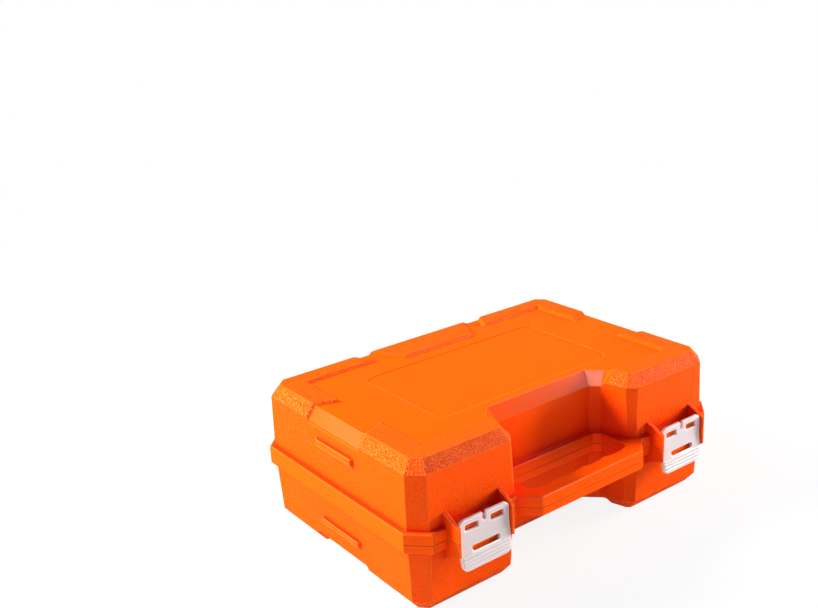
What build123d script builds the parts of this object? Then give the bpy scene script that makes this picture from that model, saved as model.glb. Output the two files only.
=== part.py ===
# Carrying case for small parts: two moulded half shells that hinge at the back and split a
# finger-grooved handle between them, held shut by two snap latches at the front.
# X runs along the long side, the handle and latches face -Y and the hinges +Y. Millimetres.
import os
from math import atan, cos, degrees, radians, sin, tan

from build123d import *

os.makedirs("parts", exist_ok=True)

# Shell walls, as outlines at the parting plane
wall_x = 165.9  # half of the length
wall_y = 108.6  # half of the depth
corner_cut = 12.5
base_height = 63.5
lid_height = 65.4
lid_draft = 1.1
base_draft = 2.8
wall = 2.6
parting_gap = 0.4
tongue = 1.1
tongue_rise = 2.6
tongue_clearance = 0.3

# Bevel round the closed end, and the raised grained pads on it
bevel_run = 7.8
bevel_rise = 9.8
pad_height = 2.2
pad_slope = 3.4
pad_band_x = 31.4  # from the wall to the foot of the pad
pad_band_back = 29.4
pad_band_front = 30.8
end_gap_back = 36.0  # the smooth gap in the pads at each end, at the edge
end_gap_front = 34.0
end_gap_taper = 8.8
back_gap_edge = 64.8  # the slanted gap in the back pads, from the middle
back_gap = 13.5
back_gap_slant = 0.45
middle_pad_reach = 41.2
middle_pad_back = 42.2
bead_x = 96.5
bead_back = 55.0
bead_front = 53.0
bead_cut = 7.0
bead_width = 1.6
bead_height = 0.8

# Recess in the front for the hand
recess_x = 50.8
recess_y = 71.3
recess_cut = 7.4
mouth_flare = 0.265
mouth_cut = 8.0
mouth_foot_cut = 5.0  # of the lid, at the parting plane

# Flange band at the parting plane, which swells into the handle
flange_reach = 4.4
flange_corner = 15.6
lid_flange = 9.5
base_flange = 7.5
flange_round = 1.4
grip_round = 0.8
handle_round = 2.5
handle_x = 57.4
handle_y = 127.0
grip_x = 56.0
grip_back = 76.6
grip_cut = 5.5
grip_front = 111.5
finger_pitch = 26.0
fingers = 4
finger_depth = 2.2
grip_corner = 7.0
handle_wall = 2.4
handle_rib = 1.6

# Carrying ribs on the two ends
end_rib_length = 58.0
end_rib_height = 6.0
end_rib_reach = 2.6
end_rib_y = -3.0
lid_rib_z = 39.8
base_rib_z = 33.3
base_rib_height = 4.8

# Latches and the ears they sit between
latch_x = 112.0
ear_span = 29.3  # half of the width over the ears, at the wall
ear_taper = 1.9
ear_wall = 2.4
ear_y = 125.0
lid_ear_bend = 12.8
lid_ear_tip = 21.2
base_ear_bend = 12.1
base_ear_tip = 18.4
ear_round = 0.7
bar_radius = 2.2
bar_y = 117.6
bar_z = 7.8
bar_clearance = 0.1
latch_side_gap = 0.6
latch_wall = 2.4
latch_front_y = 122.3
latch_top = 16.4  # above the parting plane
latch_bottom = 25.6  # below it
latch_kick = 3.2
latch_kick_top = 0.0
clip_wall = 1.6
clip_half = 5.5
clip_mouth = 80.0  # degrees of the ring that is open
window_near = 5.9
window_far = 19.2
window_low = 6.4
window_high = 11.8
window_round = 1.2
notch_width = 4.0
notch_depth = 6.6
slot_half = 13.5
slot_high = 6.9
slot_low = 11.2
slot_round = 1.6
hook_reach = 5.4
hook_height = 2.6
grip_margin = 2.0
catch_y = 120.6
catch_low = 13.4
catch_high = 8.8
catch_gap = 0.4
latch_top_round = 5.0
latch_bottom_round = 6.0
latch_edge = 0.6
kick_round = 12.0
grips = 4
grip_drop = 0.7
grip_pitch = 2.9
grip_ridge = 0.6
grip_radius = 1.1

# Hinges along the back
hinge_x = 104.0
hinge_length = 52.0
knuckles = 5
knuckle_radius = 3.7
knuckle_gap = 0.5
knuckle_clearance = 0.3
web_edge = 0.5
pin_radius = 1.5
pin_clearance = 0.1
pin_grip = 0.04  # in the knuckles that hold the pin
pin_length = 50.0

# Dividers that stand in the base
divider = 1.8
divider_top = 7.0  # below the parting plane
divider_gap = 0.4
divider_y = -12.0
rear_divider_x = 55.0
front_divider_x = 82.0
guide = 1.6
guide_reach = 2.0
guide_drop = 3.0

# Worked out from the sizes above
case_height = base_height + lid_height
rim = parting_gap / 2
bevel_angle = degrees(atan(bevel_run / bevel_rise))
bevel_normal_out = cos(radians(bevel_angle))
bevel_normal_up = sin(radians(bevel_angle))
pad_angle = degrees(atan(pad_slope / pad_height))
sunk_drop = pad_height / bevel_normal_up
flange_x = wall_x + flange_reach
flange_y = wall_y + flange_reach
handle_cut = handle_y - flange_y
hinge_y = flange_y + knuckle_radius + knuckle_clearance
hinge_z = (lid_height - base_height) / 2  # above the parting plane
centre_y = (handle_y - hinge_y - knuckle_radius) / 2
hook_top = catch_low + catch_gap
ear_inner = ear_span - ear_taper - ear_wall
latch_half = ear_inner - latch_side_gap
pad_foot = wall_y - pad_band_front
corner_x = recess_x + recess_cut
corner_y = recess_y + recess_cut
knuckle_length = (hinge_length - (knuckles - 1) * knuckle_gap) / knuckles


# A closed outline from its right-hand points, listed from back to front
def both_sides(points):
    return [(-x, y) for x, y in points] + points[::-1]


# The outline of the walls; the cut is the chamfer on the two corners of the recess's mouth
def wall_outline(cut):
    mouth_x = corner_x + (wall_y - cut - corner_y) * mouth_flare
    with BuildSketch() as sketch:
        with BuildLine():
            Polyline(
                *both_sides(
                    [
                        (wall_x - corner_cut, wall_y),
                        (wall_x, wall_y - corner_cut),
                        (wall_x, -wall_y + corner_cut),
                        (wall_x - corner_cut, -wall_y),
                        (mouth_x + cut, -wall_y),
                        (mouth_x, -wall_y + cut),
                        (corner_x, -corner_y),
                        (recess_x, -recess_y),
                    ]
                ),
                close=True,
            )
        make_face()
    return sketch.sketch


def inset_outline(amount, cut=mouth_cut):
    with BuildSketch() as sketch:
        add(wall_outline(cut))
        if amount:
            offset(amount=-amount, kind=Kind.INTERSECTION, mode=Mode.REPLACE)
    return sketch.sketch


def flange_outline():
    with BuildSketch() as sketch:
        with BuildLine():
            Polyline(
                *both_sides(
                    [
                        (flange_x - flange_corner, flange_y),
                        (flange_x, flange_y - flange_corner),
                        (flange_x, -flange_y + flange_corner),
                        (flange_x - flange_corner, -flange_y),
                        (handle_x + handle_cut, -flange_y),
                        (handle_x, -handle_y),
                    ]
                ),
                close=True,
            )
        make_face()
        fillet(sketch.vertices().group_by(Axis.Y)[0], handle_round)
    return sketch.sketch


# The hand opening, with a groove for each finger along its front edge
def grip_opening():
    reach = fingers * finger_pitch / 2
    bulge_x = grip_x - 0.3 * (grip_x - reach)
    bulge_y = -grip_front + 0.3 * grip_corner
    with BuildSketch() as sketch:
        with BuildLine():
            for finger in range(fingers):
                start = finger * finger_pitch - reach
                middle = (start + finger_pitch / 2, -grip_front - finger_depth)
                ThreePointArc((start, -grip_front), middle, (start + finger_pitch, -grip_front))
            ThreePointArc((reach, -grip_front), (bulge_x, bulge_y), (grip_x, -grip_front + grip_corner))
            Polyline(
                (grip_x, -grip_front + grip_corner),
                (grip_x, -grip_back - grip_cut),
                (grip_x - grip_cut, -grip_back),
                (grip_cut - grip_x, -grip_back),
                (-grip_x, -grip_back - grip_cut),
                (-grip_x, -grip_front + grip_corner),
            )
            ThreePointArc((-grip_x, -grip_front + grip_corner), (-bulge_x, bulge_y), (-reach, -grip_front))
        make_face()
    return sketch.sketch


# Drafted walls and a bevelled closed end, standing on the outline drawn in by the inset
def drafted_form(inset, height, bevel_start, draft, foot_cut):
    drawn_in = (bevel_start - rim) * tan(radians(draft))
    bevelled = (height - bevel_start) * bevel_run / bevel_rise
    with BuildPart() as block:
        with BuildSketch(Plane.XY.offset(rim)):
            add(inset_outline(inset, foot_cut))
        with BuildSketch(Plane.XY.offset(bevel_start)):
            add(inset_outline(inset + drawn_in))
        with BuildSketch(Plane.XY.offset(height)):
            add(inset_outline(inset + drawn_in + bevelled))
        loft(ruled=True)
    return block.part


# A tapered block that sinks one smooth area to the foot of the pads round it
def sunk_block(plane, points):
    with BuildPart() as block:
        with BuildSketch(plane):
            Polygon(*points, align=None)
        extrude(amount=pad_height + 1.0, taper=-pad_angle)
    return block.part


# The sunk bevel's plane over a wall that faces (out_x, out_y)
def bevel_plane(x, y, out_x, out_y, height, draft):
    start = height - bevel_rise - sunk_drop
    drawn_in = start * tan(radians(draft))
    return Plane(
        origin=(x - out_x * drawn_in, y - out_y * drawn_in, start),
        x_dir=(-out_y, out_x, 0),
        z_dir=(out_x * bevel_normal_out, out_y * bevel_normal_out, bevel_normal_up),
    )


def smooth_areas(height, draft, inset):
    side = wall_x - pad_band_x
    back = wall_y - pad_band_back
    edge_back = wall_y - bevel_run
    gap_inner = back_gap_edge - back_gap / 2
    gap_outer = back_gap_edge + back_gap / 2
    lean_out = 10 * back_gap_slant
    top = both_sides(
        [
            (middle_pad_reach, wall_y - middle_pad_back),
            (gap_inner, edge_back),
            (gap_inner + lean_out, edge_back + 10),
            (gap_outer + lean_out, edge_back + 10),
            (gap_outer, edge_back),
            (gap_outer - (edge_back - back) * back_gap_slant, back),
            (side, back),
            (side, end_gap_back - end_gap_taper),
            (wall_x - bevel_run, end_gap_back),
            (wall_x + 10, end_gap_back),
            (wall_x + 10, -end_gap_front),
            (wall_x - bevel_run, -end_gap_front),
            (side, -end_gap_front + end_gap_taper),
            (side, -wall_y + pad_band_front),
        ]
    )
    blocks = [sunk_block(Plane.XY.offset(height - pad_height), top)]
    slope = bevel_rise / bevel_normal_out + 8
    lean = back_gap_slant * bevel_run
    rear = bevel_plane(0, wall_y - inset, 0, 1, height, draft)
    for hand in (1, -1):
        end = bevel_plane(hand * (wall_x - inset), 0, hand, 0, height, draft)
        near = -hand * end_gap_front
        far = hand * end_gap_back
        blocks.append(sunk_block(end, [(near, -5), (far, -5), (far, slope), (near, slope)][::hand]))
        gap = [
            (-hand * (gap_inner + lean), -5),
            (-hand * (gap_outer + lean), -5),
            (-hand * gap_outer, slope),
            (-hand * gap_inner, slope),
        ]
        blocks.append(sunk_block(rear, gap[::-hand]))
    return blocks


# What stands above the sunk level round the recess, with the sloped ends of the pads beside it
def recess_sides(sunk, sunk_start, height, draft, inset):
    slope = bevel_rise / bevel_normal_out + 8
    norm = (1 + mouth_flare**2) ** 0.5
    with BuildPart() as block:
        with BuildSketch(Plane.XY.offset(sunk_start - 4)):
            Polygon(
                *both_sides(
                    [
                        (corner_x + 2 * bevel_run, 0),
                        (corner_x + 2 * bevel_run, -pad_foot),
                        (corner_x + bevel_run, -pad_foot),
                        (corner_x, -corner_y - 0.2),
                    ]
                ),
                align=None,
            )
        extrude(amount=height)
        for hand in (1, -1):
            out_x = -hand / norm
            out_y = -mouth_flare / norm
            plane = bevel_plane(
                hand * corner_x - out_x * inset, -corner_y - out_y * inset, out_x, out_y, height, draft
            )
            end = [
                (-hand * 8, -5),
                (-hand * 4.6, -5),
                (hand * 3.7, slope),
                (-hand * 8, slope),
            ]
            add(sunk_block(plane, end[::hand]))
        add(sunk, mode=Mode.SUBTRACT)
    return block.part


# The shell of one half, pads and all, drawn in by the inset; its parting plane is z = 0
def shell_form(full_height, draft, foot_cut, inset=0):
    height = full_height - inset
    sunk_start = height - bevel_rise - sunk_drop
    sunk = drafted_form(inset, height - pad_height, sunk_start, draft, foot_cut)
    with BuildPart() as block:
        add(drafted_form(inset, height, height - bevel_rise, draft, foot_cut))
        for area in smooth_areas(height, draft, inset):
            add(area, mode=Mode.SUBTRACT)
        add(recess_sides(sunk, sunk_start, height, draft, inset), mode=Mode.SUBTRACT)
    return block.part


# The low panel in the middle of the top, with its sloped border
def top_panel(height):
    with BuildPart() as block:
        with BuildSketch(Plane.XY.offset(height - pad_height)) as panel:
            with Locations((0, (bead_back - bead_front) / 2)):
                Rectangle(2 * bead_x, bead_back + bead_front)
            chamfer(panel.vertices(), bead_cut)
        extrude(amount=-bead_height, taper=degrees(atan(bead_width / bead_height)))
    return block.part


# The flange band with its half of the handle
def flange_band(height):
    with BuildPart() as band:
        with BuildSketch(Plane.XY.offset(rim)):
            add(flange_outline())
            add(grip_opening(), mode=Mode.SUBTRACT)
        extrude(amount=height - rim)
        top = band.faces().sort_by(Axis.Z)[-1]
        fillet(top.outer_wire().edges(), flange_round)
        top = band.faces().sort_by(Axis.Z)[-1]
        fillet([edge for wire in top.inner_wires() for edge in wire.edges()], grip_round)
        with BuildSketch(Plane.XY.offset(rim)):
            with Locations((0, -(handle_y - handle_wall + grip_front + finger_depth + handle_wall) / 2)):
                with GridLocations(finger_pitch, 0, fingers, 1):
                    Rectangle(
                        finger_pitch - handle_rib,
                        handle_y - grip_front - finger_depth - 2 * handle_wall,
                    )
        extrude(amount=height - rim - handle_wall, mode=Mode.SUBTRACT)
    return band.part


# One ear beside a latch: its inner side is square to the wall, its outer side leans in
def ear_block(centre, side, bend, tip):
    root = -wall_y + 1.4
    with BuildPart() as block:
        with BuildSketch(Plane.XY.offset(rim)):
            Polygon(
                (centre + side * ear_inner, root),
                (centre + side * ear_span, root),
                (centre + side * (ear_span - ear_taper), -ear_y),
                (centre + side * ear_inner, -ear_y),
                align=None,
            )
        extrude(amount=tip)
        with BuildSketch(Plane.YZ.offset(centre - ear_span)):
            Polygon((root, rim), (root, tip), (-ear_y, bend), (-ear_y, rim), align=None)
        extrude(amount=2 * ear_span, mode=Mode.INTERSECT)
        fillet(block.edges().group_by(Axis.Y)[0], ear_round)
    return block.part


def end_rib(hand, z, height):
    inner = wall_x - 4.5
    tip = wall_x - z * tan(radians(base_draft if z < 36 else lid_draft)) + end_rib_reach
    half = end_rib_length / 2
    with BuildPart() as block:
        with BuildSketch(Plane.XY.offset(z - height / 2)):
            with Locations((0, end_rib_y)):
                Polygon(
                    (hand * inner, -half),
                    (hand * tip, -half + tip - inner - 2),
                    (hand * tip, half - tip + inner + 2),
                    (hand * inner, half),
                    align=None,
                )
        extrude(amount=height)
    return block.part


# Everything one half has before its own details, with the inside open at the parting plane
def half_shell(height, draft, foot_cut, flange_height, rib_z, rib_height, bend, tip):
    with BuildPart() as half:
        add(shell_form(height, draft, foot_cut))
        add(top_panel(height), mode=Mode.SUBTRACT)
        add(flange_band(flange_height))
        for hand in (1, -1):
            add(end_rib(hand, rib_z, rib_height))
            for side in (1, -1):
                add(ear_block(hand * latch_x, side, bend, tip))
        add(shell_form(height, draft, foot_cut, wall), mode=Mode.SUBTRACT)
    return half.part


# Where each knuckle of a hinge starts, counted from its left end
def knuckle_starts(centre, first):
    starts = range(first, knuckles, 2)
    return [centre - hinge_length / 2 + place * (knuckle_length + knuckle_gap) for place in starts]


# One knuckle with its web, which leaves the flange on the given side of the pin's plane
def knuckle_block(start, web, flange, bore):
    with BuildPart() as block:
        with BuildSketch(Plane.YZ.offset(start)):
            with Locations((hinge_y, hinge_z)):
                Circle(knuckle_radius)
            Polygon(
                (flange_y - 1.0, web * rim),
                (hinge_y - knuckle_radius, web * rim),
                (hinge_y - knuckle_radius, hinge_z),
                (hinge_y, hinge_z),
                (hinge_y + knuckle_radius * 0.6, hinge_z + web * knuckle_radius * 0.8),
                (flange_y - 1.0, web * (flange - web_edge)),
                align=None,
            )
            with Locations((hinge_y, hinge_z)):
                Circle(bore, mode=Mode.SUBTRACT)
        extrude(amount=knuckle_length)
    return block.part


# The guide ribs that hold a divider's edge, one either side of it: their middles
def guide_pair(x, y, along_x):
    shift = divider / 2 + divider_gap + guide / 2
    if along_x:
        return [(x, y + shift), (x, y - shift)]
    return [(x + shift, y), (x - shift, y)]


# The guide ribs inside the base, up to the middle of its walls
def base_guides():
    drift = base_height * tan(radians(base_draft))
    reach = wall + drift + guide_reach
    tall = base_height - guide_drop
    with BuildPart() as ribs:
        for hand in (1, -1):
            with Locations(*[(x, y, guide_drop) for x, y in guide_pair(hand * wall_x, divider_y, True)]):
                Box(2 * reach, guide, tall, align=(Align.CENTER, Align.CENTER, Align.MIN))
            with Locations(
                *[(x, y, guide_drop) for x, y in guide_pair(hand * rear_divider_x, wall_y, False)],
                *[(x, y, guide_drop) for x, y in guide_pair(hand * front_divider_x, -wall_y, False)],
            ):
                Box(guide, 2 * reach, tall, align=(Align.CENTER, Align.CENTER, Align.MIN))
        add(shell_form(base_height, base_draft, mouth_cut, wall / 2), mode=Mode.INTERSECT)
    return ribs.part


# A divider standing on the floor of the base, cut to the inside of its walls
def divider_block(low_x, high_x, low_y, high_y, inside):
    with BuildPart() as block:
        with Locations(((low_x + high_x) / 2, (low_y + high_y) / 2, divider_top)):
            Box(
                high_x - low_x,
                high_y - low_y,
                base_height,
                align=(Align.CENTER, Align.CENTER, Align.MIN),
            )
        add(inside, mode=Mode.INTERSECT)
    return block.part


def latch_plate(centre):
    front = -latch_front_y
    back = front + latch_wall
    with BuildPart() as plate:
        with BuildSketch(Plane.YZ.offset(centre - latch_half)) as profile:
            Polygon(
                (front, latch_top),
                (front, -latch_kick_top),
                (front - latch_kick, -latch_bottom),
                (back - latch_kick, -latch_bottom),
                (back, -latch_kick_top),
                (back, latch_top),
                align=None,
            )
            fillet(profile.vertices().sort_by_distance((front, -latch_kick_top))[:2], kick_round)
        extrude(amount=2 * latch_half)
        with BuildSketch(Plane.XZ.offset(latch_front_y - 10)) as outline:
            with Locations((centre, (latch_top - latch_bottom) / 2)):
                Rectangle(2 * latch_half, latch_top + latch_bottom)
            fillet(outline.vertices().group_by(Axis.Y)[-1], latch_top_round)
            fillet(outline.vertices().group_by(Axis.Y)[0], latch_bottom_round)
            for hand in (1, -1):
                with Locations((centre + hand * (window_near + window_far) / 2, (window_low + window_high) / 2)):
                    RectangleRounded(
                        window_far - window_near,
                        window_high - window_low,
                        window_round,
                        mode=Mode.SUBTRACT,
                    )
            with Locations((centre, -(slot_low + slot_high) / 2)):
                RectangleRounded(2 * slot_half, slot_low - slot_high, slot_round, mode=Mode.SUBTRACT)
            with Locations((centre, latch_top)):
                SlotCenterToCenter(
                    2 * notch_depth - notch_width, notch_width, rotation=90, mode=Mode.SUBTRACT
                )
        extrude(amount=20, mode=Mode.INTERSECT)
        fronts = plate.faces().filter_by(lambda face: face.normal_at().Y < -0.9)
        rims = [edge for face in fronts for edge in face.edges()]
        fillet([edge for edge in rims if rims.count(edge) == 1], latch_edge)
    return plate.part


# The open rings that snap over the bar, across the given span
def clip_ring(start, length):
    ring = bar_radius + bar_clearance
    with BuildPart() as block:
        with BuildSketch(Plane.YZ.offset(start)):
            with Locations((-bar_y, bar_z)):
                Circle(ring + clip_wall)
                Circle(ring, mode=Mode.SUBTRACT)
                Polygon(
                    (0, 0),
                    (2 * ring * cos(radians(45 - clip_mouth / 2)), 2 * ring * sin(radians(45 - clip_mouth / 2))),
                    (3 * ring, 3 * ring),
                    (2 * ring * cos(radians(45 + clip_mouth / 2)), 2 * ring * sin(radians(45 + clip_mouth / 2))),
                    align=None,
                    mode=Mode.SUBTRACT,
                )
        extrude(amount=length)
    return block.part


# How far the plate's tail stands out from the rest at a depth below the parting plane
def tail_lean(depth):
    return latch_kick * (depth - latch_kick_top) / (latch_bottom - latch_kick_top)


def latch(centre):
    back = -latch_front_y + latch_wall
    lip_front = -latch_front_y - tail_lean(slot_low)
    hook_root = back - tail_lean(hook_top)
    with BuildPart() as piece:
        add(latch_plate(centre))
        with BuildSketch(Plane.YZ.offset(centre - slot_half)):
            Polygon(
                (lip_front, -slot_low),
                (hook_root, -hook_top),
                (back, -hook_top),
                (back, -slot_low),
                align=None,
            )
        extrude(amount=2 * slot_half, mode=Mode.SUBTRACT)
        for hand in (1, -1):
            near = sorted((centre + hand * notch_width / 2, centre + hand * clip_half))
            far = sorted((centre + hand * (window_far + 0.5), centre + hand * latch_half))
            for span in (near, far):
                add(clip_ring(span[0], span[1] - span[0]))
        with Locations((centre, hook_root - 1.0, -hook_top)):
            Box(
                2 * slot_half,
                hook_reach + 1.0,
                hook_height,
                align=(Align.CENTER, Align.MIN, Align.MAX),
            )
        for ridge in range(grips):
            z = -hook_top - grip_drop - ridge * grip_pitch
            with Locations((centre, -latch_front_y - tail_lean(-z) + grip_radius - grip_ridge, z)):
                Cylinder(grip_radius, 2 * (latch_half - grip_margin), rotation=(0, 90, 0))
    return piece.part


# The lid, with the latches' bars
with BuildPart() as lid_shell:
    add(
        half_shell(
            lid_height,
            lid_draft,
            mouth_foot_cut,
            lid_flange,
            lid_rib_z,
            end_rib_height,
            lid_ear_bend,
            lid_ear_tip,
        )
    )
    with BuildSketch(Plane.XY):
        add(inset_outline(wall - tongue - tongue_clearance))
    extrude(amount=rim + tongue_rise + tongue_clearance, mode=Mode.SUBTRACT)
    for hand in (1, -1):
        with Locations((hand * latch_x, -bar_y, bar_z)):
            Cylinder(bar_radius, 2 * ear_inner + ear_wall, rotation=(0, 90, 0))
        for start in knuckle_starts(hand * hinge_x, 1):
            add(knuckle_block(start, 1, lid_flange, pin_radius + pin_clearance))

# The base upside down, on the parting plane, with its tongue and catches
with BuildPart() as base_half:
    add(
        half_shell(
            base_height,
            base_draft,
            mouth_cut,
            base_flange,
            base_rib_z,
            base_rib_height,
            base_ear_bend,
            base_ear_tip,
        )
    )
    with BuildSketch(Plane.XY.offset(-tongue_rise)):
        add(inset_outline(wall - tongue))
        add(inset_outline(wall), mode=Mode.SUBTRACT)
    extrude(amount=tongue_rise + rim + 0.6)
    for hand in (1, -1):
        with Locations((hand * latch_x, -catch_y, catch_high)):
            Box(
                2 * ear_inner + ear_wall,
                catch_y - wall_y + 1.9,
                catch_low - catch_high,
                align=(Align.CENTER, Align.MIN, Align.MIN),
            )
    add(base_guides())
turn_over = Rot(0, 180, 0)
base_upright = turn_over * base_half.part

with BuildPart() as base_shell:
    add(base_upright)
    for hand in (1, -1):
        for start in knuckle_starts(hand * hinge_x, 0):
            add(knuckle_block(start, -1, base_flange, pin_radius + pin_grip))

hinge_pins = {}
for side, hand in (("left", -1), ("right", 1)):
    with BuildPart() as hinge_pin:
        with Locations((hand * hinge_x, hinge_y, hinge_z)):
            Cylinder(pin_radius, pin_length, rotation=(0, 90, 0))
        chamfer(hinge_pin.edges(), pin_radius / 5)
    hinge_pins["hinge_pin_" + side] = hinge_pin.part

# Dividers: a long one from end to end, two behind it and two in front of it
inside = shell_form(base_height, base_draft, mouth_cut, wall + divider_gap)
with BuildPart() as divider_long:
    add(divider_block(-wall_x, wall_x, divider_y - divider / 2, divider_y + divider / 2, inside))
    for hand in (1, -1):
        for x, y in guide_pair(hand * rear_divider_x, divider_y, False):
            add(divider_block(x - guide / 2, x + guide / 2, y, y + divider / 2 + guide_reach, inside))
        for x, y in guide_pair(hand * front_divider_x, divider_y, False):
            add(divider_block(x - guide / 2, x + guide / 2, y - divider / 2 - guide_reach, y, inside))
dividers = {"divider_long": divider_long.part}
for side, hand in (("left", 1), ("right", -1)):
    x = hand * rear_divider_x
    start = divider_y + divider / 2 + divider_gap
    dividers["divider_rear_" + side] = divider_block(x - divider / 2, x + divider / 2, start, wall_y, inside)
    x = hand * front_divider_x
    start = divider_y - divider / 2 - divider_gap
    dividers["divider_front_" + side] = divider_block(x - divider / 2, x + divider / 2, -wall_y, start, inside)

pieces = {
    "base_shell": base_shell.part,
    "lid_shell": lid_shell.part,
    "latch_left": latch(-latch_x),
    "latch_right": latch(latch_x),
}
pieces.update(hinge_pins)
pieces.update({name: turn_over * block for name, block in dividers.items()})
for name, piece in pieces.items():
    placed = Pos(0, centre_y, base_height) * piece
    placed.label = name
    export_step(placed, "parts/" + name + ".step")
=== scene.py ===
import math
import bpy
from mathutils import Matrix, Vector

# Organizer case in moulded polypropylene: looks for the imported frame, in metres
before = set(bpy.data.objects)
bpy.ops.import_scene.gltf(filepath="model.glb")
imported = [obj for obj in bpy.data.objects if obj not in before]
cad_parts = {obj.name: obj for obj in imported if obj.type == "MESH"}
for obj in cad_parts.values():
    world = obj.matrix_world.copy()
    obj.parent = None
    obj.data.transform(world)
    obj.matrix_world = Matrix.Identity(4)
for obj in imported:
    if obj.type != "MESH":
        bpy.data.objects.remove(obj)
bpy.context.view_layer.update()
print("frame loaded:", len(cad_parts), "nodes")

shot = {
    "place": (-0.55560, -0.65062, 0.48489),
    "turn": -35.91,  # degrees round the case, from straight in front
    "height": 19.05,  # degrees above the horizon
    "tilt": -3.18,
    "lens": 46.43,
    "film": 36,  # mm across
    "nearest": 0.02,
}


def makeCamera(look):
    turn, height, tilt = (math.radians(look[key]) for key in ("turn", "height", "tilt"))
    back = Vector((math.sin(turn) * math.cos(height), -math.cos(turn) * math.cos(height), math.sin(height)))
    right = Vector((math.cos(turn), math.sin(turn), 0))
    up = back.cross(right)
    sideways = right * math.cos(tilt) + up * math.sin(tilt)
    upwards = up * math.cos(tilt) - right * math.sin(tilt)
    camera = bpy.data.objects.new("camera", bpy.data.cameras.new("camera"))
    camera.data.lens = look["lens"]
    camera.data.sensor_width = look["film"]
    camera.data.clip_start = look["nearest"]
    place = Matrix((sideways, upwards, back)).transposed().to_4x4()
    place.translation = look["place"]
    camera.matrix_world = place
    bpy.context.collection.objects.link(camera)
    bpy.context.scene.camera = camera


makeCamera(shot)
print("camera set")


def linearColour(hexText):
    values = [int(hexText[i:i + 2], 16) / 255 for i in (1, 3, 5)]
    return [v / 12.92 if v <= 0.04045 else ((v + 0.055) / 1.055) ** 2.4 for v in values] + [1]


# Values feed the sockets in their order; a capital begins a socket's name, a small letter a setting's
def addNode(tree, kind, *values, **named):
    node = tree.nodes.new("ShaderNode" + kind)
    fed = list(zip(node.inputs, values))
    for name, value in named.items():
        if name[0].isupper():
            fed.append((node.inputs[name.replace("_", " ")], value))
        else:
            setattr(node, name, value)
    for socket, value in fed:
        if isinstance(value, bpy.types.Node):
            value = value.outputs[0]
        if isinstance(value, bpy.types.NodeSocket):
            tree.links.new(value, socket)
        else:
            socket.default_value = value
    return node


def newMaterial(name):
    material = bpy.data.materials.new(name)
    material.use_nodes = True
    return material, material.node_tree, material.node_tree.nodes["Principled BSDF"]


def wear(node, material):
    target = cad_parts[node]
    for slot in target.material_slots:
        slot.material = material
    if not target.material_slots:
        target.data.materials.append(material)


# Where each finish lies on the shells, in metres
shellZones = {
    "lengthHalf": 0.1659,
    "depthHalf": 0.1086,
    "shift": 0.00315,  # of the parting frame, in y
    "parting": 0.0635,
    "middle": 0.06445,  # of the height
    "bevelFoot": 0.05465,  # up or down from the middle
    "cornerSum": 0.2620,  # of x and y, along the chamfered corners
    "cornerShare": 0.7071,  # of that sum, straight across the chamfer
    "bevelShares": (0.782, 0.623),  # outward and up, straight across the bevel
    "baseDraft": 0.0489,  # lean of the walls, for each metre from the parting line
    "draftLoss": 0.0297,  # how much less the lid's walls lean
    # from where a zone begins to where it is full
    "lid": (0.0634, 0.0636),
    "ends": (-0.0004, 0.0002),  # beyond the bevel's foot
    "padTops": (0.0084, 0.0092),  # beyond the bevel's foot
    "padBevels": (-0.0014, -0.0007),
    "legs": (0.0781, 0.0787),  # forward of the parting frame's middle
    "grainedLegs": (0.0833, 0.0839),
    "wallInside": (-0.0010, -0.0006),
    "wallOutside": (0.0010, 0.0006),
    "offFlange": (0.0094, 0.0100),  # from the parting line
    "offSeam": (0.0004, 0.0012),
    # band along the parting line that carries the painted seam shadow
    "seamShadeBand": (0.0004, 0.0002),
    "panelEnds": (0.0990, 0.0988),  # just outside the sunk panel's border
    "panelSides": (0.0580, 0.0578),
    "panelLevel": (0.1249, 0.1254),
}

shellLook = {
    "colour": "#FC5602",
    "warmer": "#FB5104",
    "paintedHighlightColour": "#FF9C52",  # painted highlight colour: glints on the pebbles' tops and light caught along the edges
    "valley": "#EC3C04",
    "paintedHollowShade": "#E2200C",  # painted shade: the colour turns deeper and redder in hollows, standing in for light bouncing about there
    # painted shadow along the seam where the halves meet
    "paintedSeamShade": "#8C1E02",
    "pebble": 0.0012,  # across one pebble of the pads' leather grain
    "pebbleBlur": 0.15,
    "pebbleSpread": 0.75,
    "sand": 0.0012,  # across one grain of the walls, 0.3 mm on the real one, drawn coarser to show
    "sandDetail": 2.0,
    "sandRoughness": 0.6,
    "sandDepth": 1.2,  # next to the pebbles' depth
    "sink": 1 / 14,  # across one slow wave where the walls shrank in cooling
    "sinkDepth": 0.2,
    "grainDepth": 0.0007,
    "edge": 0.0010,  # radius of the moulding's soft edges
    "panelSharper": 0.7,  # share of that radius that the sunk panel lacks
    "roughness": (0.24, 0.36),  # smooth, grained
    "ior": 1.49,
    "specular": 0.05,
    # ranges and strengths of the tones
    "glintRange": (0.42, 0.16),  # painted glint, from a pebble's rim to its middle
    "glintShare": 0.85,
    "calmTops": 0.85,  # how much of the pebbles' tones, their painted glints among them, the level pads lose
    "valleyRange": (0.45, 0.70),
    "valleyShare": 0.6,
    "sandRange": (0.45, 0.62),
    "sandShare": 0.45,
    "edgeHighlightRange": (0.985, 0.72),
    "edgeHighlightShare": 0.44,
    "hollowShadeReach": 0.09,
    "hollowShadeRange": (0.92, 0.45),
    "hollowShadeShare": 0.85,
    "borderHighlightRange": (0.15, 0.3),
    "borderHighlightShare": 0.4,
    "seamShadeShare": 0.35,
}


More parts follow.
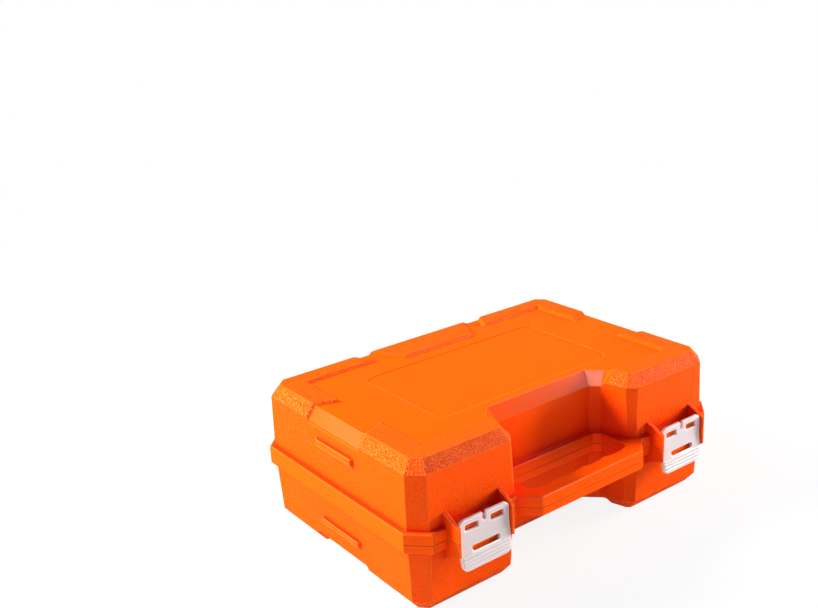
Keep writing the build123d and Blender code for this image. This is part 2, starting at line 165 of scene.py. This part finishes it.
def findZones(tree, place, zones):
    axes = addNode(tree, "SeparateXYZ", place).outputs
    x = addNode(tree, "Math", axes["X"], operation="ABSOLUTE")
    behind = addNode(tree, "Math", axes["Y"], zones["shift"], operation="SUBTRACT")
    y = addNode(tree, "Math", behind, operation="ABSOLUTE")
    z = axes["Z"]
    fromParting = addNode(tree, "Math", z, zones["parting"], operation="SUBTRACT")
    fromParting = addNode(tree, "Math", fromParting, operation="ABSOLUTE")

    # How far outward of the upright faces a point lies, and how far past the bevel
    inLid = addNode(tree, "MapRange", z, *zones["lid"], interpolation_type="SMOOTHSTEP")
    lean = addNode(tree, "Math", inLid, zones["draftLoss"], operation="MULTIPLY")
    lean = addNode(tree, "Math", zones["baseDraft"], lean, operation="SUBTRACT")
    lean = addNode(tree, "Math", fromParting, lean, operation="MULTIPLY")
    corner = addNode(tree, "Math", x, y, operation="ADD")
    corner = addNode(tree, "Math", corner, zones["cornerSum"], operation="SUBTRACT")
    corner = addNode(tree, "Math", corner, zones["cornerShare"], operation="MULTIPLY")
    pastEnd = addNode(tree, "Math", x, zones["lengthHalf"], operation="SUBTRACT")
    pastSide = addNode(tree, "Math", y, zones["depthHalf"], operation="SUBTRACT")
    outward = addNode(tree, "Math", pastEnd, pastSide, operation="MAXIMUM")
    outward = addNode(tree, "Math", outward, corner, operation="MAXIMUM")
    outward = addNode(tree, "Math", outward, lean, operation="ADD")
    rise = addNode(tree, "Math", z, zones["middle"], operation="SUBTRACT")
    rise = addNode(tree, "Math", rise, operation="ABSOLUTE")
    rise = addNode(tree, "Math", rise, zones["bevelFoot"], operation="SUBTRACT")
    outShare, upShare = zones["bevelShares"]
    bevelOut = addNode(tree, "Math", outward, outShare, operation="MULTIPLY")
    bevelUp = addNode(tree, "Math", rise, upShare, operation="MULTIPLY")
    bevel = addNode(tree, "Math", bevelOut, bevelUp, operation="ADD")

    # Pads: their tops, their bevels, and all of the legs beside the handle
    onEnd = addNode(tree, "MapRange", rise, *zones["ends"], interpolation_type="SMOOTHSTEP")
    padTop = addNode(tree, "MapRange", rise, *zones["padTops"], interpolation_type="SMOOTHSTEP")
    padBevel = addNode(tree, "MapRange", bevel, *zones["padBevels"], interpolation_type="SMOOTHSTEP")
    forward = addNode(tree, "Math", behind, -1.0, operation="MULTIPLY")
    inLegs = addNode(tree, "MapRange", forward, *zones["legs"], interpolation_type="SMOOTHSTEP")
    grainedLegs = addNode(tree, "MapRange", forward, *zones["grainedLegs"], interpolation_type="SMOOTHSTEP")
    pads = addNode(tree, "Math", padTop, padBevel, operation="MAXIMUM")
    pads = addNode(tree, "Math", pads, grainedLegs, operation="MAXIMUM")
    pads = addNode(tree, "Math", pads, onEnd, operation="MULTIPLY")

    # Walls: the outer faces only, clear of the flange and the bevels
    notInside = addNode(tree, "MapRange", outward, *zones["wallInside"], interpolation_type="SMOOTHSTEP")
    notOutside = addNode(tree, "MapRange", outward, *zones["wallOutside"], interpolation_type="SMOOTHSTEP")
    onWall = addNode(tree, "Math", notInside, notOutside, operation="MULTIPLY")
    onLegs = addNode(tree, "Math", inLegs, notOutside, operation="MULTIPLY")
    offFlange = addNode(tree, "MapRange", fromParting, *zones["offFlange"], interpolation_type="SMOOTHSTEP")
    offEnd = addNode(tree, "Math", 1.0, onEnd, operation="SUBTRACT")
    walls = addNode(tree, "Math", onWall, onLegs, operation="MAXIMUM")
    walls = addNode(tree, "Math", walls, offFlange, operation="MULTIPLY")
    walls = addNode(tree, "Math", walls, offEnd, operation="MULTIPLY")

    # The sunk panel on the top, and the line where the halves meet
    betweenEnds = addNode(tree, "MapRange", x, *zones["panelEnds"], interpolation_type="SMOOTHSTEP")
    betweenSides = addNode(tree, "MapRange", y, *zones["panelSides"], interpolation_type="SMOOTHSTEP")
    atLevel = addNode(tree, "MapRange", z, *zones["panelLevel"], interpolation_type="SMOOTHSTEP")
    panel = addNode(tree, "Math", betweenEnds, betweenSides, operation="MULTIPLY")
    panel = addNode(tree, "Math", panel, atLevel, operation="MULTIPLY")
    offSeam = addNode(tree, "MapRange", fromParting, *zones["offSeam"], interpolation_type="SMOOTHSTEP")
    seamShadeBand = addNode(tree, "MapRange", fromParting, *zones["seamShadeBand"], interpolation_type="SMOOTHSTEP")
    return {"pads": pads, "padTop": padTop, "walls": walls, "panel": panel, "offSeam": offSeam, "seamShadeBand": seamShadeBand}


# Polypropylene, injection moulded in a grained tool: waxy, evenly coloured, dull on the grain and glossier where
# smooth, with painted highlights on edges and pebble tops and painted shade in hollows and along the seam
def mouldedPolypropylene(look, zones):
    material, tree, shader = newMaterial("mouldedPolypropyleneOrange")
    place = addNode(tree, "TexCoord").outputs["Object"]
    at = findZones(tree, place, zones)
    pebble = addNode(tree, "TexVoronoi", feature="SMOOTH_F1", Vector=place, Scale=1 / look["pebble"],
                     Smoothness=look["pebbleBlur"], Randomness=look["pebbleSpread"])
    sand = addNode(tree, "TexNoise", Vector=place, Scale=1 / look["sand"],
                   Detail=look["sandDetail"], Roughness=look["sandRoughness"])
    sinks = addNode(tree, "TexNoise", Vector=place, Scale=1 / look["sink"], Detail=1.0)

    # Relief: pebbles on the pads, sand on the walls, slow sinks all over, on softened edges
    pebbles = addNode(tree, "Math", pebble, at["pads"], operation="MULTIPLY")
    sands = addNode(tree, "Math", sand, at["walls"], operation="MULTIPLY")
    sands = addNode(tree, "Math", sands, look["sandDepth"], operation="MULTIPLY")
    slow = addNode(tree, "Math", sinks, look["sinkDepth"], operation="MULTIPLY")
    relief = addNode(tree, "Math", pebbles, sands, operation="ADD")
    relief = addNode(tree, "Math", relief, slow, operation="ADD")
    radius = addNode(tree, "Math", at["panel"], look["edge"] * look["panelSharper"], operation="MULTIPLY")
    radius = addNode(tree, "Math", look["edge"], radius, operation="SUBTRACT")
    radius = addNode(tree, "Math", at["offSeam"], radius, operation="MULTIPLY")
    rounded = addNode(tree, "Bevel", samples=6, Radius=radius)
    bump = addNode(tree, "Bump", Strength=1.0, Distance=look["grainDepth"], Height=relief, Normal=rounded)

    # Gloss: the grain scatters what the smooth faces mirror
    smooth, rough = look["roughness"]
    grained = addNode(tree, "Math", at["pads"], at["walls"], operation="MAXIMUM")
    dull = addNode(tree, "MapRange", grained, To_Min=smooth, To_Max=rough)

    # Darker tones: between the pebbles and the grains of sand
    calm = addNode(tree, "Math", at["padTop"], look["calmTops"], operation="MULTIPLY")
    calm = addNode(tree, "Math", 1.0, calm, operation="SUBTRACT")
    lively = addNode(tree, "Math", at["pads"], calm, operation="MULTIPLY")
    between = addNode(tree, "MapRange", pebble, *look["valleyRange"], interpolation_type="SMOOTHSTEP")
    betweenShare = addNode(tree, "Math", lively, look["valleyShare"], operation="MULTIPLY")
    between = addNode(tree, "Math", between, betweenShare, operation="MULTIPLY")
    pits = addNode(tree, "MapRange", sand, *look["sandRange"], interpolation_type="SMOOTHSTEP")
    pitShare = addNode(tree, "Math", at["walls"], look["sandShare"], operation="MULTIPLY")
    pits = addNode(tree, "Math", pits, pitShare, operation="MULTIPLY")
    valleys = addNode(tree, "Math", between, pits, operation="ADD")

    # Painted highlights: glints on the pebbles' tops, light along the convex edges and on the far side of the panel's
    # border
    paintedGlints = addNode(tree, "MapRange", pebble, *look["glintRange"], interpolation_type="SMOOTHSTEP")
    paintedGlints = addNode(tree, "Math", paintedGlints, lively, operation="MULTIPLY")
    paintedGlints = addNode(tree, "Math", paintedGlints, look["glintShare"], operation="MULTIPLY")
    # Painted highlight along convex edges, where the rounded moulding would catch the light
    convex = addNode(tree, "AmbientOcclusion", samples=6, inside=True, only_local=True, Distance=look["edge"])
    paintedEdgeHighlight = addNode(tree, "MapRange", convex.outputs["AO"], *look["edgeHighlightRange"], interpolation_type="SMOOTHSTEP")
    paintedEdgeHighlight = addNode(tree, "Math", paintedEdgeHighlight, at["offSeam"], operation="MULTIPLY")
    paintedEdgeHighlight = addNode(tree, "Math", paintedEdgeHighlight, look["edgeHighlightShare"], operation="MULTIPLY")
    # Painted highlight on the panel border's slopes that face right and back
    facing = addNode(tree, "NewGeometry").outputs["True Normal"]
    facing = addNode(tree, "SeparateXYZ", facing).outputs
    paintedBorderHighlight = addNode(tree, "Math", facing["X"], facing["Y"], operation="ADD")
    paintedBorderHighlight = addNode(tree, "MapRange", paintedBorderHighlight, *look["borderHighlightRange"], interpolation_type="SMOOTHSTEP")
    paintedBorderHighlight = addNode(tree, "Math", paintedBorderHighlight, at["panel"], operation="MULTIPLY")
    paintedBorderHighlight = addNode(tree, "Math", paintedBorderHighlight, look["borderHighlightShare"], operation="MULTIPLY")
    paintedHighlights = addNode(tree, "Math", paintedBorderHighlight, paintedGlints, operation="MAXIMUM")
    paintedHighlights = addNode(tree, "Math", paintedHighlights, paintedEdgeHighlight, operation="MAXIMUM")

    # Painted shade: a darker, redder tone in hollows, and a dark painted shadow along the line where the halves meet
    hollowShadeAO = addNode(tree, "AmbientOcclusion", samples=6, only_local=True, Distance=look["hollowShadeReach"])
    paintedHollowShade = addNode(tree, "MapRange", hollowShadeAO.outputs["AO"], *look["hollowShadeRange"], interpolation_type="SMOOTHSTEP")
    paintedHollowShade = addNode(tree, "Math", paintedHollowShade, look["hollowShadeShare"], operation="MULTIPLY")
    paintedSeamShade = addNode(tree, "Math", at["seamShadeBand"], look["seamShadeShare"], operation="MULTIPLY")

    tone = addNode(tree, "MixRGB", sinks, linearColour(look["colour"]), linearColour(look["warmer"]))
    layers = ((valleys, "valley"), (paintedHighlights, "paintedHighlightColour"), (paintedHollowShade, "paintedHollowShade"), (paintedSeamShade, "paintedSeamShade"))
    for share, colour in layers:
        tone = addNode(tree, "MixRGB", share, tone, linearColour(look[colour]))
    tree.links.new(tone.outputs[0], shader.inputs["Base Color"])
    tree.links.new(dull.outputs[0], shader.inputs["Roughness"])
    tree.links.new(bump.outputs[0], shader.inputs["Normal"])
    shader.inputs["IOR"].default_value = look["ior"]
    shader.inputs["Specular IOR Level"].default_value = look["specular"]
    return material


shellMaterial = mouldedPolypropylene(shellLook, shellZones)
for shell in ("base_shell", "lid_shell"):
    wear(shell, shellMaterial)
print("shells finished")

latchLook = {
    "colour": "#D9CBCC",
    "cloud": "#D4C6C7",
    "cloudSize": 1 / 60,
    # painted highlight along the latches' thin rims
    "rim": "#FFF8F6",
    "rimWidth": 0.0014,
    "rimRange": (0.95, 0.60),
    "edge": 0.0007,  # radius of the moulding's soft edges
    "bumpShare": 0.05,
    "bumpDepth": 0.0003,
    "roughness": 0.3,
    "ior": 1.48,
    "specular": 0.3,
}


# Acetal, injection moulded and polished: white with a slight warm grey, with a painted highlight making it palest along
# its thin rims
def polishedAcetal(look):
    material, tree, shader = newMaterial("mouldedAcetalWhite")
    place = addNode(tree, "TexCoord").outputs["Object"]
    clouds = addNode(tree, "TexNoise", Vector=place, Scale=1 / look["cloudSize"], Detail=2.0)
    rounded = addNode(tree, "Bevel", samples=6, Radius=look["edge"])
    bump = addNode(tree, "Bump", Strength=look["bumpShare"], Distance=look["bumpDepth"], Height=clouds, Normal=rounded)
    convex = addNode(tree, "AmbientOcclusion", samples=6, inside=True, only_local=True, Distance=look["rimWidth"])
    rims = addNode(tree, "MapRange", convex.outputs["AO"], *look["rimRange"], interpolation_type="SMOOTHSTEP")
    tone = addNode(tree, "MixRGB", clouds, linearColour(look["colour"]), linearColour(look["cloud"]))
    tone = addNode(tree, "MixRGB", rims, tone, linearColour(look["rim"]))
    tree.links.new(tone.outputs[0], shader.inputs["Base Color"])
    tree.links.new(bump.outputs[0], shader.inputs["Normal"])
    shader.inputs["Roughness"].default_value = look["roughness"]
    shader.inputs["IOR"].default_value = look["ior"]
    shader.inputs["Specular IOR Level"].default_value = look["specular"]
    return material


latchMaterial = polishedAcetal(latchLook)
for latch in ("latch_left", "latch_right"):
    wear(latch, latchMaterial)
print("latches finished")

pinLook = {
    "colour": "#B9B9BC",
    "lines": 0.0004,  # between the drawing marks, under 0.1 mm on the real one, drawn coarser to show
    "stretch": 0.02,  # how slowly the marks change along the pin
    "roughness": (0.22, 0.42),
}


# Steel wire, drawn and cut: fine lines along the pin
def drawnSteel(look):
    material, tree, shader = newMaterial("drawnSteelWire")
    place = addNode(tree, "TexCoord").outputs["Object"]
    along = addNode(tree, "Mapping", Vector=place, Scale=(look["stretch"], 1.0, 1.0))
    lines = addNode(tree, "TexNoise", Vector=along, Scale=1 / look["lines"], Detail=2.0)
    smooth, rough = look["roughness"]
    scored = addNode(tree, "MapRange", lines, To_Min=smooth, To_Max=rough)
    tree.links.new(scored.outputs[0], shader.inputs["Roughness"])
    shader.inputs["Base Color"].default_value = linearColour(look["colour"])
    shader.inputs["Metallic"].default_value = 1.0
    return material


pinMaterial = drawnSteel(pinLook)
for pin in ("hinge_pin_left", "hinge_pin_right"):
    wear(pin, pinMaterial)
print("pins finished")

dividerLook = {
    "colour": "#A9A9A5",
    "mottle": "#A0A09D",
    "mottleSize": 0.012,
    "roughness": 0.35,
    "ior": 1.55,
}


# Polystyrene, injection moulded in thin plates: pale grey, faintly mottled, a little glossy
def thinPolystyrene(look):
    material, tree, shader = newMaterial("mouldedPolystyrenePale")
    place = addNode(tree, "TexCoord").outputs["Object"]
    mottle = addNode(tree, "TexNoise", Vector=place, Scale=1 / look["mottleSize"], Detail=3.0)
    tone = addNode(tree, "MixRGB", mottle, linearColour(look["colour"]), linearColour(look["mottle"]))
    tree.links.new(tone.outputs[0], shader.inputs["Base Color"])
    shader.inputs["Roughness"].default_value = look["roughness"]
    shader.inputs["IOR"].default_value = look["ior"]
    return material


dividerMaterial = thinPolystyrene(dividerLook)
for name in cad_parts:
    if name.startswith("divider"):
        wear(name, dividerMaterial)
print("dividers finished")

floorLook = {
    "half": 60.0,
    "colour": "#E2E2E2",
    "roughness": 0.9,
    "shown": (0.88, 1.0),  # share of plain white near the case, where its shadow falls, and far off
    "reach": (0.35, 1.3),  # from the middle, where the first passes into the second
    "bounce": 0.3,  # share of white that it throws back on the case
    "mirrored": 0.05,  # its strength where the case mirrors it
}


# Paper sweep, pale and matt: the camera sees it white, with a soft shadow
def layFloor(look):
    half = look["half"]
    corners = [(-half, -half, 0), (half, -half, 0), (half, half, 0), (-half, half, 0)]
    mesh = bpy.data.meshes.new("floor")
    mesh.from_pydata(corners, [], [(0, 1, 2, 3)])
    floor = bpy.data.objects.new("floor", mesh)
    bpy.context.collection.objects.link(floor)
    material, tree, shader = newMaterial("paperFloor")
    shader.inputs["Base Color"].default_value = linearColour(look["colour"])
    shader.inputs["Roughness"].default_value = look["roughness"]
    shader.inputs["Specular IOR Level"].default_value = 0.0
    rays = addNode(tree, "LightPath").outputs
    glossy = rays["Is Glossy Ray"]
    direct = addNode(tree, "Math", rays["Is Camera Ray"], rays["Is Transmission Ray"], operation="MAXIMUM")
    place = addNode(tree, "TexCoord").outputs["Object"]
    away = addNode(tree, "VectorMath", place, operation="LENGTH").outputs["Value"]
    share = addNode(tree, "MapRange", away, *look["reach"], *look["shown"])
    direct = addNode(tree, "Math", direct, share, operation="MULTIPLY")
    thrown = addNode(tree, "Math", rays["Is Diffuse Ray"], look["bounce"], operation="MULTIPLY")
    plain = addNode(tree, "Math", direct, glossy, operation="MAXIMUM")
    plain = addNode(tree, "Math", plain, thrown, operation="MAXIMUM")
    glow = addNode(tree, "MapRange", glossy, To_Min=1.0, To_Max=look["mirrored"])
    white = addNode(tree, "Emission", (1, 1, 1, 1), glow)
    mixed = addNode(tree, "MixShader", plain, shader, white)
    tree.links.new(mixed.outputs[0], tree.nodes["Material Output"].inputs["Surface"])
    mesh.materials.append(material)


layFloor(floorLook)

airLook = {
    "fill": 0.21,  # strength of the air's light on the case
    "mirrored": 0.12,  # its strength where the case mirrors it
}


def fillAir(look):
    world = bpy.data.worlds.new("studio")
    bpy.context.scene.world = world
    world.use_nodes = True
    air = world.node_tree
    rays = addNode(air, "LightPath").outputs
    seen = addNode(air, "Math", rays["Is Camera Ray"], rays["Is Transmission Ray"], operation="MAXIMUM")
    fill = addNode(air, "MapRange", rays["Is Glossy Ray"], To_Min=look["fill"], To_Max=look["mirrored"])
    strength = addNode(air, "MapRange", seen, To_Min=fill, To_Max=1.0)
    air.nodes["Background"].inputs["Color"].default_value = (1, 1, 1, 1)
    air.links.new(strength.outputs[0], air.nodes["Background"].inputs["Strength"])


fillAir(airLook)

lampLook = {
    "aim": (0, 0, 0.06),  # near the middle of the case
    "lamps": {  # place, size, watts
        "behind": ((-1.66, 1.50, 1.40), 0.9, 212),
        "right": ((1.15, -0.40, 0.28), 0.45, 34),
    },
    "glints": {  # seen only as reflections, on edges and grain
        "glintRight": ((1.0, -0.54, 1.4), 0.2, 38),
        "glintLeft": ((-1.4, -0.55, 1.35), 0.25, 22),
        "glintBehind": ((-1.49, 1.63, 1.03), 0.25, 8),
        "glintRecess": ((1.5, -1.06, 1.1), 0.3, 13),
        "glintFront": ((-0.72, -0.94, 1.62), 0.2, 24),
    },
}


def hangLamps(look):
    for group in ("lamps", "glints"):
        for name, (place, size, watts) in look[group].items():
            lamp = bpy.data.objects.new(name, bpy.data.lights.new(name, "AREA"))
            lamp.data.size = size
            lamp.data.energy = watts
            lamp.location = place
            towards = Vector(look["aim"]) - Vector(place)
            lamp.rotation_euler = towards.to_track_quat("-Z", "Y").to_euler()
            lamp.visible_diffuse = group == "lamps"
            lamp.visible_glossy = group == "glints"
            bpy.context.collection.objects.link(lamp)


hangLamps(lampLook)
bpy.context.scene.view_settings.view_transform = "Standard"
print("studio lit")
